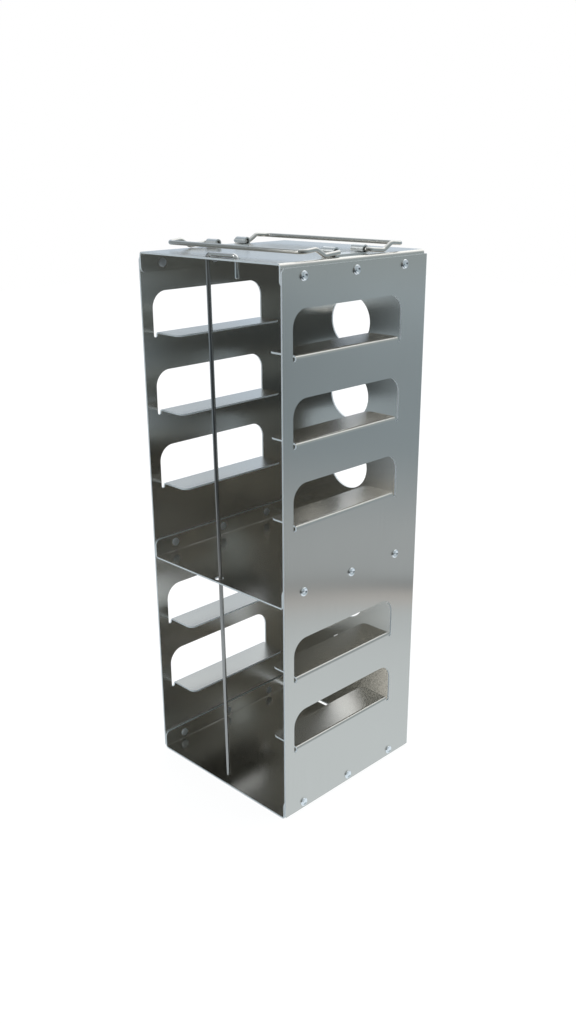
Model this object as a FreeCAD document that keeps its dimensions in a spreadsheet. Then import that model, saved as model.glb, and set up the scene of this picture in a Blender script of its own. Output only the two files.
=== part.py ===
import FreeCAD, Part
import math
import os
import Sketcher

from FreeCAD import Placement, Rotation, Vector

# Vertical freezer rack: an open-fronted stainless steel column that holds seven square boxes.
# Frame: X to the right across the open front, Y to the back wall, Z up.
# The origin is the centre of the underside of the bottom plate. Every size is in millimetres.

SIZES = {
    # Column
    "rack_width": 140.0,
    "rack_depth": 142.5,
    "pitch": 56.35,
    "lower_rooms": 3,
    "upper_rooms": 4,
    "sheet": 1.2,
    "shell_bend": 1.0,
    "wall_foot": 1.8,
    "wall_top_gap": 3.0,
    "wall_corner": 3.0,
    "foot_corner": 1.0,
    # Side windows and the shelf tabs folded in from them
    "window_front": 9.2,
    "window_back": 27.2,
    "window_height": 28.5,
    "window_corner": 12.0,
    "cut_width": 2.9,
    "relief_depth": 3.7,
    "relief_corner": 1.3,
    "tab_reach": 25.4,
    "tab_corner": 5.0,
    # Finger holes in the back wall
    "finger_hole": 38.1,
    "finger_rise": 0.9,
    "finger_offset": 1.0,
    # Top, middle and bottom plates
    "plate_bend": 1.2,
    "plate_side_gap": 0.05,
    "plate_back_gap": 3.0,
    "flange_height": 14.3,
    "flange_corner": 4.0,
    # Rivets
    "rivet_front": 18.85,
    "rivet_spacing": 49.0,
    "rivets_in_row": 3,
    "rivet_rise": 8.4,
    "base_rivet_rise": 6.8,
    "rivet_shank": 3.2,
    "rivet_play": 0.05,
    "rivet_head": 6.6,
    "head_height": 1.2,
    "rim_height": 0.4,
    "crown": 4.8,
    "dimple": 2.8,
    "dimple_depth": 0.3,
    "tail": 6.4,
    "tail_height": 1.0,
    "tail_slope": 0.5,
    # Hinge straps on the top plate
    "strap_sheet": 1.0,
    "strap_inset": 18.7,
    "strap_length": 10.6,
    "pivot_spacing": 28.3,
    "barrel_bore": 3.8,
    "curl_gap": 60.0,
    # Lifting handles of bent wire
    "handle_wire": 3.0,
    "arm_inset": 4.7,
    "low_arm": 14.6,
    "step_run": 7.6,
    "step_rise": 5.0,
    "high_arm": 11.7,
    "stub_inset": 1.0,
    "eye_bend": 2.5,
    "step_bend": 4.5,
    "bar_bend": 4.0,
    "rest_gap": 0.15,
    # Locking rod of bent wire
    "rod_wire": 3.0,
    "rod_inset": 5.25,
    "rod_hole": 6.4,
    "rod_hole_offset": -1.75,
    "catch_spacing": 26.5,
    "catch_drop": 12.2,
    "rod_foot": 4.5,
    "rod_bend": 3.0,
    "rod_play": 0.1,
    "wire_end_round": 0.7,
}

doc = FreeCAD.newDocument("freezer_rack")
sheet = doc.addObject("Spreadsheet::Sheet", "Sizes")
for row, (alias, value) in enumerate(SIZES.items(), start=1):
    sheet.set(f"A{row}", alias)
    sheet.set(f"B{row}", str(value))
    sheet.setAlias(f"B{row}", alias)
doc.recompute()


def size(formula):
    """The number that a formula of sheet aliases stands for."""
    result = sheet.evalExpression(full(formula))
    return float(getattr(result, "Value", result))


def full(formula):
    """The formula with every sheet alias written as a reference to the sheet."""
    words = []
    for word in formula.replace("(", "( ").replace(")", " )").split():
        words.append(f"Sizes.{word}" if word in SIZES else word)
    return " ".join(words)


# Levels and lines that several pieces share, as formulas of the sheet's aliases.
TOP = "( lower_rooms + upper_rooms ) * pitch"
MIDDLE = "lower_rooms * pitch"
HALF_WIDTH = "rack_width / 2"
FRONT = "0 - rack_depth / 2"
BACK = "rack_depth / 2"
PLATE_SIDE = "rack_width / 2 - sheet - plate_side_gap"
RIVET_LINE = "rivet_front - rack_depth / 2"
RIVET_ROWS = {
    "top": f"{TOP} - rivet_rise",
    "middle": f"{MIDDLE} - sheet + rivet_rise",
    "bottom": "base_rivet_rise",
}
BARREL_AXIS = f"{TOP} + strap_sheet + barrel_bore / 2"
ROD_LINE = "rod_inset - rack_depth / 2"
ROD_LEAN = "rod_hole / 2 - rod_wire / 2 - rod_play"


def level_with(first, second):
    """Whether two lengths are the same, to a hundredth of a millimetre."""
    return abs(first - second) < 0.01


def new_body(name):
    body = doc.addObject("PartDesign::Body", name)
    body.Label = name
    return body


def origin_part(body, role):
    return next(part for part in body.Origin.OriginFeatures if part.Role == role)


def new_sketch(body, name, plane, offset="0", rise="0", along="0"):
    """A sketch on one of the body's origin planes, moved along the plane's normal and in it."""
    sketch = body.newObject("Sketcher::SketchObject", name)
    sketch.AttachmentSupport = [(origin_part(body, plane), "")]
    sketch.MapMode = "FlatFace"
    sketch.setExpression("AttachmentOffset.Base.x", f"( {full(along)} ) * 1 mm")
    sketch.setExpression("AttachmentOffset.Base.y", f"( {full(rise)} ) * 1 mm")
    sketch.setExpression("AttachmentOffset.Base.z", f"( {full(offset)} ) * 1 mm")
    return sketch


def fix(sketch, kind, *picks, formula):
    """A dimension whose value follows a formula of the sheet."""
    index = sketch.addConstraint(Sketcher.Constraint(kind, *picks, size(formula)))
    sketch.setExpression(f"Constraints[{index}]", f"( {full(formula)} ) * 1 mm")


def outline(sketch, corners):
    """A closed outline. Each corner is (x, y) or (x, y, radius), each a formula.

    Edges beside a rounded corner, and those on both sides of a slanting edge, run along x or y."""
    spots = [Vector(size(corner[0]), size(corner[1]), 0) for corner in corners]
    radii = [size(corner[2]) if len(corner) > 2 else 0.0 for corner in corners]
    count = len(corners)
    edges = []
    for i in range(count):
        start = spots[i]
        end = spots[(i + 1) % count]
        run = (end - start).normalize()
        edges.append(sketch.addGeometry(Part.LineSegment(
            start + run * radii[i], end - run * radii[(i + 1) % count])))
    for i in range(count):
        before = edges[i - 1]
        after = edges[i]
        if radii[i] == 0.0:
            sketch.addConstraint(Sketcher.Constraint("Coincident", before, 2, after, 1))
            continue
        first = sketch.Geometry[before].EndPoint
        last = sketch.Geometry[after].StartPoint
        centre = first + last - spots[i]
        corner = spots[i] - centre
        middle = centre + corner * (radii[i] / corner.Length)
        arc = sketch.addGeometry(Part.Arc(first, middle, last))
        clockwise = (first - centre).cross(last - centre).z < 0
        arc_start, arc_end = (2, 1) if clockwise else (1, 2)
        sketch.addConstraint(Sketcher.Constraint("Tangent", before, 2, arc, arc_start))
        sketch.addConstraint(Sketcher.Constraint("Tangent", arc, arc_end, after, 1))
        fix(sketch, "Radius", arc, formula=corners[i][2])
    for i in range(count):
        following = (i + 1) % count
        run = spots[following] - spots[i]
        if abs(run.y) < 1e-7:
            sketch.addConstraint(Sketcher.Constraint("Horizontal", edges[i]))
            fix(sketch, "DistanceY", edges[i], 1, formula=corners[i][1])
        elif abs(run.x) < 1e-7:
            sketch.addConstraint(Sketcher.Constraint("Vertical", edges[i]))
            fix(sketch, "DistanceX", edges[i], 1, formula=corners[i][0])
        else:
            run_before = spots[i] - spots[i - 1]
            run_after = spots[(i + 2) % count] - spots[following]
            for point, corner, beside in ((1, i, run_before), (2, following, run_after)):
                kind, place = ("DistanceX", 0) if abs(beside.y) < 1e-7 else ("DistanceY", 1)
                fix(sketch, kind, edges[i], point, formula=corners[corner][place])


def circle(sketch, x, y, diameter):
    disc = sketch.addGeometry(Part.Circle(Vector(size(x), size(y), 0), Vector(0, 0, 1),
                                          size(diameter) / 2))
    fix(sketch, "DistanceX", disc, 3, formula=x)
    fix(sketch, "DistanceY", disc, 3, formula=y)
    fix(sketch, "Diameter", disc, formula=diameter)


def pad(body, name, sketch, length, backwards=False):
    feature = body.newObject("PartDesign::Pad", name)
    feature.Profile = sketch
    feature.setExpression("Length", f"( {full(length)} ) * 1 mm")
    feature.Reversed = backwards
    return feature


def pocket(body, name, sketch, side_type="One side"):
    """A cut right through: both ways from its sketch when symmetric."""
    feature = body.newObject("PartDesign::Pocket", name)
    feature.Profile = sketch
    feature.Type = "ThroughAll"
    feature.SideType = side_type
    return feature


def repeat(body, name, features, axis, spacing, count):
    """The features again at equal steps along one of the body's axes."""
    pattern = body.newObject("PartDesign::LinearPattern", name)
    pattern.Originals = features
    pattern.Direction = (origin_part(body, axis), [""])
    pattern.Mode = "Spacing"
    pattern.setExpression("Offset", f"( {full(spacing)} ) * 1 mm")
    pattern.setExpression("Occurrences", full(count))
    body.Tip = pattern
    return pattern


def round_edges(body, name, base, test, radius):
    """A fillet on the straight edges whose direction and middle pass the test."""
    doc.recompute()
    names = []
    for number, edge in enumerate(base.Shape.Edges, start=1):
        if isinstance(edge.Curve, Part.Line) and test(edge.Curve.Direction, edge.CenterOfMass):
            names.append(f"Edge{number}")
    feature = body.newObject("PartDesign::Fillet", name)
    feature.Base = (base, names)
    feature.setExpression("Radius", f"( {full(radius)} ) * 1 mm")
    return feature


def rivet_holes(body):
    """Three rows of holes through both side walls, one row at each plate."""
    sketch = new_sketch(body, f"{body.Label}_rivet_sketch", "YZ_Plane")
    for height in RIVET_ROWS.values():
        circle(sketch, RIVET_LINE, height, "rivet_shank + 2 * rivet_play")
    holes = pocket(body, f"{body.Label}_rivet_holes", sketch, "Symmetric")
    repeat(body, f"{body.Label}_rivet_rows", [holes], "Y_Axis", "rivet_spacing", "rivets_in_row")


# Shell: both side walls and the back wall are one sheet, folded twice.
def add_window(body, bay, level):
    """One window through both walls, with its two relief notches below the fold."""
    sketch = new_sketch(body, f"{bay}_window_sketch", "YZ_Plane")
    front = "window_front - rack_depth / 2"
    back = "rack_depth / 2 - window_back"
    notch = f"{level} - relief_depth"
    fold = f"{level} - shell_bend - sheet"
    outline(sketch, [
        (front, notch, "relief_corner"),
        (f"{front} + cut_width", notch, "relief_corner"),
        (f"{front} + cut_width", fold),
        (f"{back} - cut_width", fold),
        (f"{back} - cut_width", notch, "relief_corner"),
        (back, notch, "relief_corner"),
        (back, f"{level} + window_height", "window_corner"),
        (front, f"{level} + window_height", "window_corner"),
    ])
    return pocket(body, f"{bay}_window", sketch, "Symmetric")


def add_fold(body, bay, level):
    """The rounded fold that turns each window's flap in from the wall."""
    sketch = new_sketch(body, f"{bay}_fold_sketch", "XZ_Plane",
                        offset="rack_depth / 2 - window_front - cut_width")
    height = f"{level} - shell_bend - sheet"
    for side in (1, -1):
        place = f"{side} * ( {HALF_WIDTH} - shell_bend - sheet )"
        centre = Vector(size(place), size(height), 0)
        start, end = (0, math.pi / 2) if side > 0 else (math.pi / 2, math.pi)
        arcs = []
        for radius in ("shell_bend", "shell_bend + sheet"):
            ring = Part.Circle(centre, Vector(0, 0, 1), size(radius))
            arc = sketch.addGeometry(Part.ArcOfCircle(ring, start, end))
            fix(sketch, "DistanceX", arc, 3, formula=place)
            fix(sketch, "DistanceY", arc, 3, formula=height)
            fix(sketch, "Radius", arc, formula=radius)
            arcs.append(arc)
        for point in (1, 2):
            angle = start if point == 1 else end
            upright = abs(math.cos(angle)) < 0.5
            reach = Vector(math.cos(angle), math.sin(angle), 0)
            line = sketch.addGeometry(Part.LineSegment(
                centre + reach * size("shell_bend"), centre + reach * size("shell_bend + sheet")))
            sketch.addConstraint(Sketcher.Constraint("Coincident", line, 1, arcs[0], point))
            sketch.addConstraint(Sketcher.Constraint("Coincident", line, 2, arcs[1], point))
            kind = "Vertical" if upright else "Horizontal"
            sketch.addConstraint(Sketcher.Constraint(kind, line))
            sketch.addConstraint(Sketcher.Constraint(kind, arcs[0], 3, line, 1))
    width = "rack_depth - window_front - window_back - 2 * cut_width"
    return pad(body, f"{bay}_fold", sketch, width, backwards=True)


def add_tab(body, bay, level):
    """The flat shelf tabs, level with each other, with rounded free corners."""
    sketch = new_sketch(body, f"{bay}_tab_sketch", "XY_Plane", offset=f"{level} - sheet")
    front = "window_front + cut_width - rack_depth / 2"
    back = "rack_depth / 2 - window_back - cut_width"
    for side in (1, -1):
        root = f"{side} * ( {HALF_WIDTH} - shell_bend - sheet )"
        free = f"{side} * ( {HALF_WIDTH} - tab_reach )"
        outline(sketch, [
            (root, front),
            (root, back),
            (free, back, "tab_corner"),
            (free, front, "tab_corner"),
        ])
    return pad(body, f"{bay}_tab", sketch, "sheet")


def add_finger_hole(body, bay, level):
    sketch = new_sketch(body, f"{bay}_finger_sketch", "XZ_Plane")
    circle(sketch, "finger_offset", f"{level} + finger_rise", "finger_hole")
    return pocket(body, f"{bay}_finger_hole", sketch)


def make_shell():
    body = new_body("rack_shell")
    plan = new_sketch(body, "shell_plan", "XY_Plane", offset="wall_foot")
    inner = f"{HALF_WIDTH} - sheet"
    outer_bend = "shell_bend + sheet"
    outline(plan, [
        (f"0 - {HALF_WIDTH}", FRONT),
        (f"0 - {HALF_WIDTH}", BACK, outer_bend),
        (HALF_WIDTH, BACK, outer_bend),
        (HALF_WIDTH, FRONT),
        (inner, FRONT),
        (inner, f"{BACK} - sheet", "shell_bend"),
        (f"0 - ( {inner} )", f"{BACK} - sheet", "shell_bend"),
        (f"0 - ( {inner} )", FRONT),
    ])
    walls = pad(body, "walls", plan, f"{TOP} - wall_top_gap - wall_foot")
    front_line = size(FRONT)
    half_height = size(TOP) / 2
    round_edges(body, "wall_corners", walls,
                lambda along, middle: abs(along.x) > 0.9 and level_with(middle.y, front_line)
                and middle.z > half_height,
                "wall_corner")
    round_edges(body, "foot_corners", body.Tip,
                lambda along, middle: abs(along.x) > 0.9 and level_with(middle.y, front_line)
                and middle.z < half_height,
                "foot_corner")
    bays = (("lower", "pitch", "lower_rooms"),
            ("upper", "( lower_rooms + 1 ) * pitch", "upper_rooms"))
    for bay, level, rooms in bays:
        features = [add_window(body, bay, level), add_fold(body, bay, level),
                    add_tab(body, bay, level), add_finger_hole(body, bay, level)]
        repeat(body, f"{bay}_rows", features, "Z_Axis", "pitch", f"{rooms} - 1")
    rivet_holes(body)
    return body


# Plates: each is one sheet with a flange folded along each side.
def make_plate(name, face, flange_way, rod_holes):
    """A plate whose flat lies behind its outer face, with flanges that turn up (1) or down (-1)."""
    body = new_body(name)
    tip = f"{face} + {flange_way} * flange_height"
    inside = f"{face} + {flange_way} * sheet"
    inner = f"{PLATE_SIDE} - sheet"
    section = new_sketch(body, f"{name}_section", "XZ_Plane", offset=BACK)
    outline(section, [
        (f"0 - ( {PLATE_SIDE} )", tip),
        (f"0 - ( {PLATE_SIDE} )", face, "plate_bend + sheet"),
        (PLATE_SIDE, face, "plate_bend + sheet"),
        (PLATE_SIDE, tip),
        (inner, tip),
        (inner, inside, "plate_bend"),
        (f"0 - ( {inner} )", inside, "plate_bend"),
        (f"0 - ( {inner} )", tip),
    ])
    channel = pad(body, f"{name}_channel", section, "rack_depth - plate_back_gap", backwards=True)
    edge_level = size(tip)
    round_edges(body, f"{name}_flange_corners", channel,
                lambda along, middle: abs(along.x) > 0.9 and level_with(middle.z, edge_level),
                "flange_corner")
    if rod_holes:
        rod_sketch = new_sketch(body, f"{name}_rod_sketch", "XY_Plane")
        for step in range(rod_holes):
            circle(rod_sketch, f"rod_hole_offset + {step} * catch_spacing", ROD_LINE, "rod_hole")
        pocket(body, f"{name}_rod_holes", rod_sketch, "Symmetric")
    rivet_holes(body)
    return body


# Rivets: a low crowned head outside the wall, and a flat formed tail inside the flange.
def make_rivets(row, height, side_name, side):
    body = new_body(f"{row}_rivets_{side_name}")
    body.AllowCompound = True
    sketch = new_sketch(body, f"{body.Label}_profile", "XZ_Plane",
                        offset=f"0 - ( {RIVET_LINE} )", rise=height)
    seat = f"{side} * ( {HALF_WIDTH} )"
    crown = f"{side} * ( {HALF_WIDTH} + head_height )"
    floor = f"{side} * ( {HALF_WIDTH} + head_height - dimple_depth )"
    rim = f"{side} * ( {HALF_WIDTH} + rim_height )"
    inside = f"{side} * ( {PLATE_SIDE} - sheet )"
    tail_rim = f"{side} * ( {PLATE_SIDE} - sheet - tail_height + tail_slope )"
    tail_end = f"{side} * ( {PLATE_SIDE} - sheet - tail_height )"
    corners = [
        (floor, "0"),
        (floor, "dimple / 2"),
        (crown, "dimple / 2"),
        (crown, "crown / 2"),
        (rim, "rivet_head / 2"),
        (seat, "rivet_head / 2"),
        (seat, "rivet_shank / 2"),
        (inside, "rivet_shank / 2"),
        (inside, "tail / 2"),
        (tail_rim, "tail / 2"),
        (tail_end, "tail / 2 - tail_slope"),
        (tail_end, "0"),
    ]
    outline(sketch, corners)
    turned = body.newObject("PartDesign::Revolution", f"{body.Label}_turned")
    turned.Profile = sketch
    turned.ReferenceAxis = (sketch, ["H_Axis"])
    turned.Angle = 360
    repeat(body, f"{body.Label}_row", [turned], "Y_Axis", "rivet_spacing", "rivets_in_row")
    return body


# Hinge straps: a flat strip whose two ends are rolled up into open barrels.
def make_strap(side_name, side):
    body = new_body(f"hinge_strap_{side_name}")
    if side > 0:
        start = f"{HALF_WIDTH} - strap_inset"
    else:
        start = f"0 - {HALF_WIDTH} + strap_inset - strap_length"
    sketch = new_sketch(body, f"{body.Label}_profile", "YZ_Plane", offset=start, rise=TOP)
    rise = "strap_sheet + barrel_bore / 2"
    bore = "barrel_bore / 2"
    outside = "barrel_bore / 2 + strap_sheet"
    ends = []
    for way in (-1, 1):
        axis = f"{way} * pivot_spacing / 2"
        centre = Vector(size(axis), size(rise), 0)
        bottom = -math.pi / 2
        curl_end = bottom + way * (2 * math.pi - math.radians(size("curl_gap")))
        arcs = []
        for radius in (bore, outside):
            ring = Part.Circle(centre, Vector(0, 0, 1), size(radius))
            first, last = (bottom, curl_end) if way > 0 else (curl_end, bottom)
            arc = sketch.addGeometry(Part.ArcOfCircle(ring, first, last))
            fix(sketch, "DistanceX", arc, 3, formula=axis)
            fix(sketch, "DistanceY", arc, 3, formula=rise)
            fix(sketch, "Radius", arc, formula=radius)
            arcs.append(arc)
        bottom_point, curl_point = (1, 2) if way > 0 else (2, 1)
        ray = Vector(math.cos(curl_end), math.sin(curl_end), 0)
        lip = sketch.addGeometry(Part.LineSegment(centre + ray * size(bore),
                                                  centre + ray * size(outside)))
        sketch.addConstraint(Sketcher.Constraint("Coincident", lip, 1, arcs[0], curl_point))
        sketch.addConstraint(Sketcher.Constraint("Coincident", lip, 2, arcs[1], curl_point))
        sketch.addConstraint(Sketcher.Constraint("PointOnObject", arcs[0], 3, lip))
        ends.append((arcs, bottom_point))
    for layer in (0, 1):
        heights = size(rise) - size((bore, outside)[layer])
        strip = sketch.addGeometry(Part.LineSegment(
            Vector(-size("pivot_spacing") / 2, heights, 0),
            Vector(size("pivot_spacing") / 2, heights, 0)))
        for point, (arcs, bottom_point) in enumerate(ends, start=1):
            sketch.addConstraint(Sketcher.Constraint("Tangent", strip, point, arcs[layer],
                                                     bottom_point))
    pad(body, f"{body.Label}_strip", sketch, "strap_length")
    return body


# Wires: straight runs joined by round bends, with a round section and softened ends.
def bent_path(points, bends):
    """Straight runs through the points, with a tangent arc of the given radius at each turn."""
    edges = []
    start = points[0]
    for before, corner, after, radius in zip(points, points[1:], points[2:], bends):
        run_in = (corner - before).normalize()
        run_out = (after - corner).normalize()
        turn = run_in.getAngle(run_out)
        reach = radius * math.tan(turn / 2)
        first = corner - run_in * reach
        last = corner + run_out * reach
        inward = (run_out - run_in).normalize()
        centre = corner + inward * (radius / math.cos(turn / 2))
        edges.append(Part.LineSegment(start, first).toShape())
        edges.append(Part.Arc(first, centre - inward * radius, last).toShape())
        start = last
    edges.append(Part.LineSegment(start, points[-1]).toShape())
    return Part.Wire(edges)


def make_wire(name, points, bends, diameter):
    """A bent wire: a circle swept along its path, with both ends softened."""
    path = doc.addObject("Part::Feature", f"{name}_path")
    path.Shape = bent_path(points, bends)
    disc = doc.addObject("Part::Circle", f"{name}_section")
    disc.setExpression("Radius", f"( {full(diameter)} ) * 0.5 mm")
    disc.Placement = Placement(points[0], Rotation(Vector(0, 0, 1), points[1] - points[0]))
    sweep = doc.addObject("Part::Sweep", f"{name}_sweep")
    sweep.Sections = [disc]
    sweep.Spine = (path, [f"Edge{i + 1}" for i in range(len(path.Shape.Edges))])
    sweep.Solid = True
    doc.recompute()
    wire = doc.addObject("Part::Fillet", name)
    wire.Label = name
    wire.Base = sweep
    rounding = size("wire_end_round")
    tips = (points[0], points[-1])
    wire.Edges = [(i + 1, rounding, rounding) for i, edge in enumerate(sweep.Shape.Edges)
                  if any((edge.CenterOfMass - tip).Length < 0.01 for tip in tips)]
    return wire


def make_handle(name, way):
    """A lifting handle, modelled flat about its pivot line and laid on the plate by its droop."""
    arm = size(f"{HALF_WIDTH} - arm_inset")
    stub = size(f"{HALF_WIDTH} - strap_inset + stub_inset")
    rise = size("step_rise")
    near = size("low_arm")
    step = size("low_arm + step_run")
    far = size("low_arm + step_run + high_arm")
    right = [Vector(stub, 0, 0), Vector(arm, 0, 0), Vector(arm, -near, 0),
             Vector(arm, -step, rise), Vector(arm, -far, rise)]
    left = [Vector(-spot.x, spot.y, spot.z) for spot in reversed(right)]
    bends = [size(word) for word in ("eye_bend", "step_bend", "step_bend", "bar_bend")]
    handle = make_wire(name, right + left, bends + bends[::-1], "handle_wire")
    drop = size("strap_sheet + barrel_bore / 2 - handle_wire / 2 - rest_gap")
    droop = math.degrees(math.asin(drop / near))
    turn = Rotation(Vector(0, 0, 1), 0 if way < 0 else 180)
    tilt = Rotation(Vector(1, 0, 0), droop)
    seat = Vector(0, way * size("pivot_spacing / 2"), size(BARREL_AXIS))
    handle.Placement = Placement(seat, turn.multiply(tilt))
    return handle


def make_rod():
    """The locking rod: it leans between its two holes, and its hook keeps it from turning."""
    line = size(ROD_LINE)
    lean = size(ROD_LEAN)
    centre = size("rod_hole_offset")
    top = size(TOP)
    span = size("upper_rooms * pitch")
    lying = top + size("rod_wire / 2 + rest_gap")

    def rod_x(height):
        return centre - lean + 2 * lean * (top - height) / span

    foot = size("rod_foot")
    catch = centre + size("catch_spacing")
    points = [Vector(rod_x(foot), line, foot), Vector(rod_x(lying), line, lying),
              Vector(catch, line, lying), Vector(catch, line, top - size("catch_drop"))]
    bends = [size("rod_bend")] * 2
    return make_wire("locking_rod", points, bends, "rod_wire")


parts = [make_shell()]
parts.append(make_plate("top_plate", TOP, -1, 2))
parts.append(make_plate("middle_plate", f"{MIDDLE} - sheet", 1, 1))
parts.append(make_plate("bottom_plate", "0", 1, 0))
for row, height in RIVET_ROWS.items():
    for side_name, side in (("left", -1), ("right", 1)):
        parts.append(make_rivets(row, height, side_name, side))
for side_name, side in (("left", -1), ("right", 1)):
    parts.append(make_strap(side_name, side))
parts.append(make_handle("front_handle", -1))
parts.append(make_handle("rear_handle", 1))
parts.append(make_rod())
doc.recompute()

for item in doc.Objects:
    if "Invalid" in item.State or "Error" in item.State:
        raise RuntimeError(f"{item.Name} failed: {item.State}")
os.makedirs("parts", exist_ok=True)
for part in parts:
    if part.Shape.isNull() or not part.Shape.isValid():
        raise RuntimeError(f"{part.Label} has no valid shape")
for part in parts:
    part.Shape.exportStep(f"parts/{part.Label}.step")
    box = part.Shape.BoundBox
    print(f"{part.Label:22s} solids {len(part.Shape.Solids)}  volume {part.Shape.Volume:10.1f}  "
          f"X {box.XMin:7.2f} {box.XMax:7.2f}  Y {box.YMin:7.2f} {box.YMax:7.2f}  "
          f"Z {box.ZMin:7.2f} {box.ZMax:7.2f}")
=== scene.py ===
# %% [markdown]
# # A vertical freezer rack in satin stainless steel
# The rack is a tall column of folded sheet steel. Seven square boxes slide in from its open
# front and rest on tabs that are folded in from the side windows. Two wire handles lie on top,
# and a wire rod runs down the front. The sheet pieces arrive finished as solids, so this lesson
# is about their finish, and about the wires and rivets, which follow paths and rows.

# %% Load the rack
import math

import bpy
import bmesh
from mathutils import Matrix, Vector


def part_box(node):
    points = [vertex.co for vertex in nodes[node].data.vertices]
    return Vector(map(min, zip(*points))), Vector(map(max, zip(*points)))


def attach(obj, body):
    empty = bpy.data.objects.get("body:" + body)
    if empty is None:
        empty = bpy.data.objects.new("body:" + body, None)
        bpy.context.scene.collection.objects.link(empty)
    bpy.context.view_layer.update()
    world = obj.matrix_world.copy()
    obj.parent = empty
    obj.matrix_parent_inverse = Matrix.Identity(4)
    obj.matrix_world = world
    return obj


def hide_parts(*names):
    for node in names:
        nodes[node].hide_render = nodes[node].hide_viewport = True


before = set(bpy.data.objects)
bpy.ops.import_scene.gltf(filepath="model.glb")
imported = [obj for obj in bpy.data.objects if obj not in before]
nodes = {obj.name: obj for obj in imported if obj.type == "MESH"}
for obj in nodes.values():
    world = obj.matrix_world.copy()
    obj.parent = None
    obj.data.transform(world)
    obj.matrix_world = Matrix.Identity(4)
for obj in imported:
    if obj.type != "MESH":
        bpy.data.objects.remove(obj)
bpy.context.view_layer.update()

MM = 0.001
print("pieces in the frame:", len(nodes))

# %% [markdown]
# ## Measures taken from the frame
# Everything that this script adds has to sit on the solids, so its places are read from their
# boxes. The few sizes that a box can't give, such as the wire's bends, are named here once.

# %% Measures
shell_low, shell_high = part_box("rack_shell")
top_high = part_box("top_plate")[1]
plate_top = top_high.z
half_width = shell_high.x
front_y = shell_low.y
back_y = shell_high.y
SHEET = 1.2 * MM
WALL_INSIDE = half_width - SHEET
FLANGE_INSIDE = top_high.x - SHEET
print("width", round(2 * half_width, 4), "depth", round(back_y - front_y, 4),
      "height to the top plate", round(plate_top, 4))

# %% [markdown]
# ## The camera
# The photograph looks down a little on the open front and the right wall. A lens is described
# by its focal length and by where its axis meets the picture. The picture was cropped off
# centre, so the camera has a small shift. Its stand is given by a place and by three angles.

# %% Camera
CAMERA_PLACE = Vector((500.896, -500.195, 450.252)) * MM
CAMERA_TURN = math.radians(45.341)
CAMERA_PITCH = math.radians(20.134)
CAMERA_ROLL = math.radians(-0.481)
PICTURE_SIZE = (576, 1024)
FOCAL_PIXELS = 993.937
AXIS_PIXEL = (280.232, 528.14)
SENSOR = 36.0


def camera_matrix():
    """Columns are the picture's right, its up and the way back from it."""
    back = Vector((math.sin(CAMERA_TURN) * math.cos(CAMERA_PITCH),
                   -math.cos(CAMERA_TURN) * math.cos(CAMERA_PITCH),
                   math.sin(CAMERA_PITCH)))
    level_right = Vector((math.cos(CAMERA_TURN), math.sin(CAMERA_TURN), 0.0))
    level_up = back.cross(level_right)
    right = level_right * math.cos(CAMERA_ROLL) + level_up * math.sin(CAMERA_ROLL)
    up = level_up * math.cos(CAMERA_ROLL) - level_right * math.sin(CAMERA_ROLL)
    turn = Matrix((right, up, back)).transposed().to_4x4()
    return Matrix.Translation(CAMERA_PLACE) @ turn


lens = bpy.data.cameras.new("photo_camera")
lens.sensor_width = SENSOR
lens.lens = FOCAL_PIXELS / PICTURE_SIZE[1] * SENSOR
lens.shift_x = (PICTURE_SIZE[0] / 2 - AXIS_PIXEL[0]) / PICTURE_SIZE[1]
lens.shift_y = (AXIS_PIXEL[1] - PICTURE_SIZE[1] / 2) / PICTURE_SIZE[1]
lens.clip_start = 0.01
lens.clip_end = 50.0
camera = bpy.data.objects.new("photo_camera", lens)
camera.matrix_world = camera_matrix()
bpy.context.scene.collection.objects.link(camera)
bpy.context.scene.camera = camera
bpy.context.scene.view_settings.view_transform = "Standard"
print("focal length", round(lens.lens, 2), "shift", round(lens.shift_x, 4), round(lens.shift_y, 4))

# %% [markdown]
# ## Building node trees in a few words
# Materials and Geometry Nodes are both trees of nodes. One helper adds a node, sets its
# options, and fills its sockets with plain values or with links from other nodes.


# %% Node helper
def add_node(tree, kind, inputs=None, **options):
    """A new node. Inputs are given by name or number, as values or as sockets to link."""
    node = tree.nodes.new(kind)
    for option, value in options.items():
        setattr(node, option, value)
    for key, value in (inputs or {}).items():
        socket = node.inputs[key]
        if isinstance(value, bpy.types.NodeSocket):
            tree.links.new(value, socket)
        else:
            socket.default_value = value
    return node


def math_node(tree, operation, first, second=0.0, third=0.0):
    """The result of one sum on values or sockets."""
    node = add_node(tree, "ShaderNodeMath", {0: first, 1: second, 2: third}, operation=operation)
    return node.outputs[0]


def new_group(name, inputs, outputs):
    """A shader group with named inputs, given with their defaults, and named outputs."""
    tree = bpy.data.node_groups.new(name, "ShaderNodeTree")
    for label, kind, default in inputs:
        socket = tree.interface.new_socket(label, in_out="INPUT", socket_type=kind)
        if default is not None:
            socket.default_value = default
    for label, kind in outputs:
        tree.interface.new_socket(label, in_out="OUTPUT", socket_type=kind)
    entry = tree.nodes.new("NodeGroupInput")
    leave = tree.nodes.new("NodeGroupOutput")
    return tree, entry.outputs, leave.inputs


def use_group(tree, group, inputs):
    """A group placed in a material with its own values."""
    node = tree.nodes.new("ShaderNodeGroup")
    node.node_tree = group
    for label, value in inputs.items():
        if isinstance(value, bpy.types.NodeSocket):
            tree.links.new(value, node.inputs[label])
        else:
            node.inputs[label].default_value = value
    return node.outputs


print("node helpers ready")

# %% [markdown]
# ## Brushed grain
# Sheet steel is ground with an abrasive belt. The belt leaves fine lines that all run one way.
# Noise that is stretched along the grain looks just like them. The same noise drives the
# colour, the roughness and a very shallow bump, so the lines agree with each other. A finer
# noise adds speckle, and a broad one smudges the roughness a little.

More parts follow.
